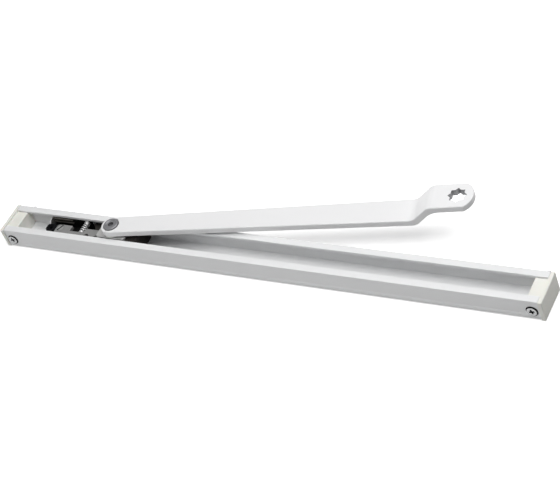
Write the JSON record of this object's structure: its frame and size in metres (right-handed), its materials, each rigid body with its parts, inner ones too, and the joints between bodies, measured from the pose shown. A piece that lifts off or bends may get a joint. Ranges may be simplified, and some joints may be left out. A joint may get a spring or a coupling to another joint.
{
  "type": "door closer slide rail with lever arm",
  "caption": "Slotted slide rail for a door closer, with a slider, a sprung hold-open catch and a cranked lever arm that ends in a double-square socket.",
  "frame": {"origin": "centre of the rail's back face, the face that lies on the door frame", "axes": "+X along the rail away from the hold-open unit, +Y into the door frame, +Z out of the rail's slot, towards the arm"},
  "size_m": [0.446, 0.082, 0.0355],
  "materials": {
    "rail_coat": "white powder coat, satin",
    "arm_coat": "white powder coat, satin",
    "cap_plastic": "moulded, slightly warm white",
    "bright_steel": "zinc plated",
    "pivot_steel": "dark nickel, satin",
    "zinc_casting": "zinc die casting, blasted",
    "spring_steel": "bright drawn wire",
    "black_plastic": "moulded, fine matt grain",
    "black_steel": "black oxide",
    "bearing_plastic": "natural acetal"
  },
  "bodies": {
    "rail": {"rail_profile": "rail_coat", "end_cap_left": "cap_plastic", "end_cap_right": "cap_plastic", "fixing_screws": "bright_steel", "hold_open_base": "bright_steel", "hold_open_housing": "black_plastic", "clamp_block": "black_steel", "clamp_screw": "black_steel", "catch_pivot_screw": "zinc_casting", "spring_seat": "bright_steel", "catch_spring": "spring_steel"},
    "catch": {"catch_lever": "zinc_casting"},
    "slider": {"slider_block": "zinc_casting", "slider_catch_pin": "bright_steel", "slider_shoe_long": "black_plastic", "slider_shoe_wedge": "black_plastic", "pivot_bolt": "pivot_steel", "arm_washer": "bearing_plastic"},
    "arm": {"lever_arm": "arm_coat", "arm_bush": "bearing_plastic"}
  },
  "joints": [
    {"name": "slider_travel", "type": "slide", "parent": "rail", "child": "slider", "axis": [1, 0, 0], "range_m": [0, 0.309]},
    {"name": "arm_swing", "type": "hinge", "parent": "slider", "child": "arm", "pos_m": [-0.122, -0.01375, 0], "axis": [0, 0, 1], "continuous": true},
    {"name": "catch_swing", "type": "hinge", "parent": "rail", "child": "catch", "pos_m": [-0.1735, -0.01495, 0], "axis": [0, 0, 1], "range_deg": [0, 8], "stiffness_Nm_per_rad": 1, "springref_deg": -20.05, "deforming": ["catch_spring"]}
  ]
}
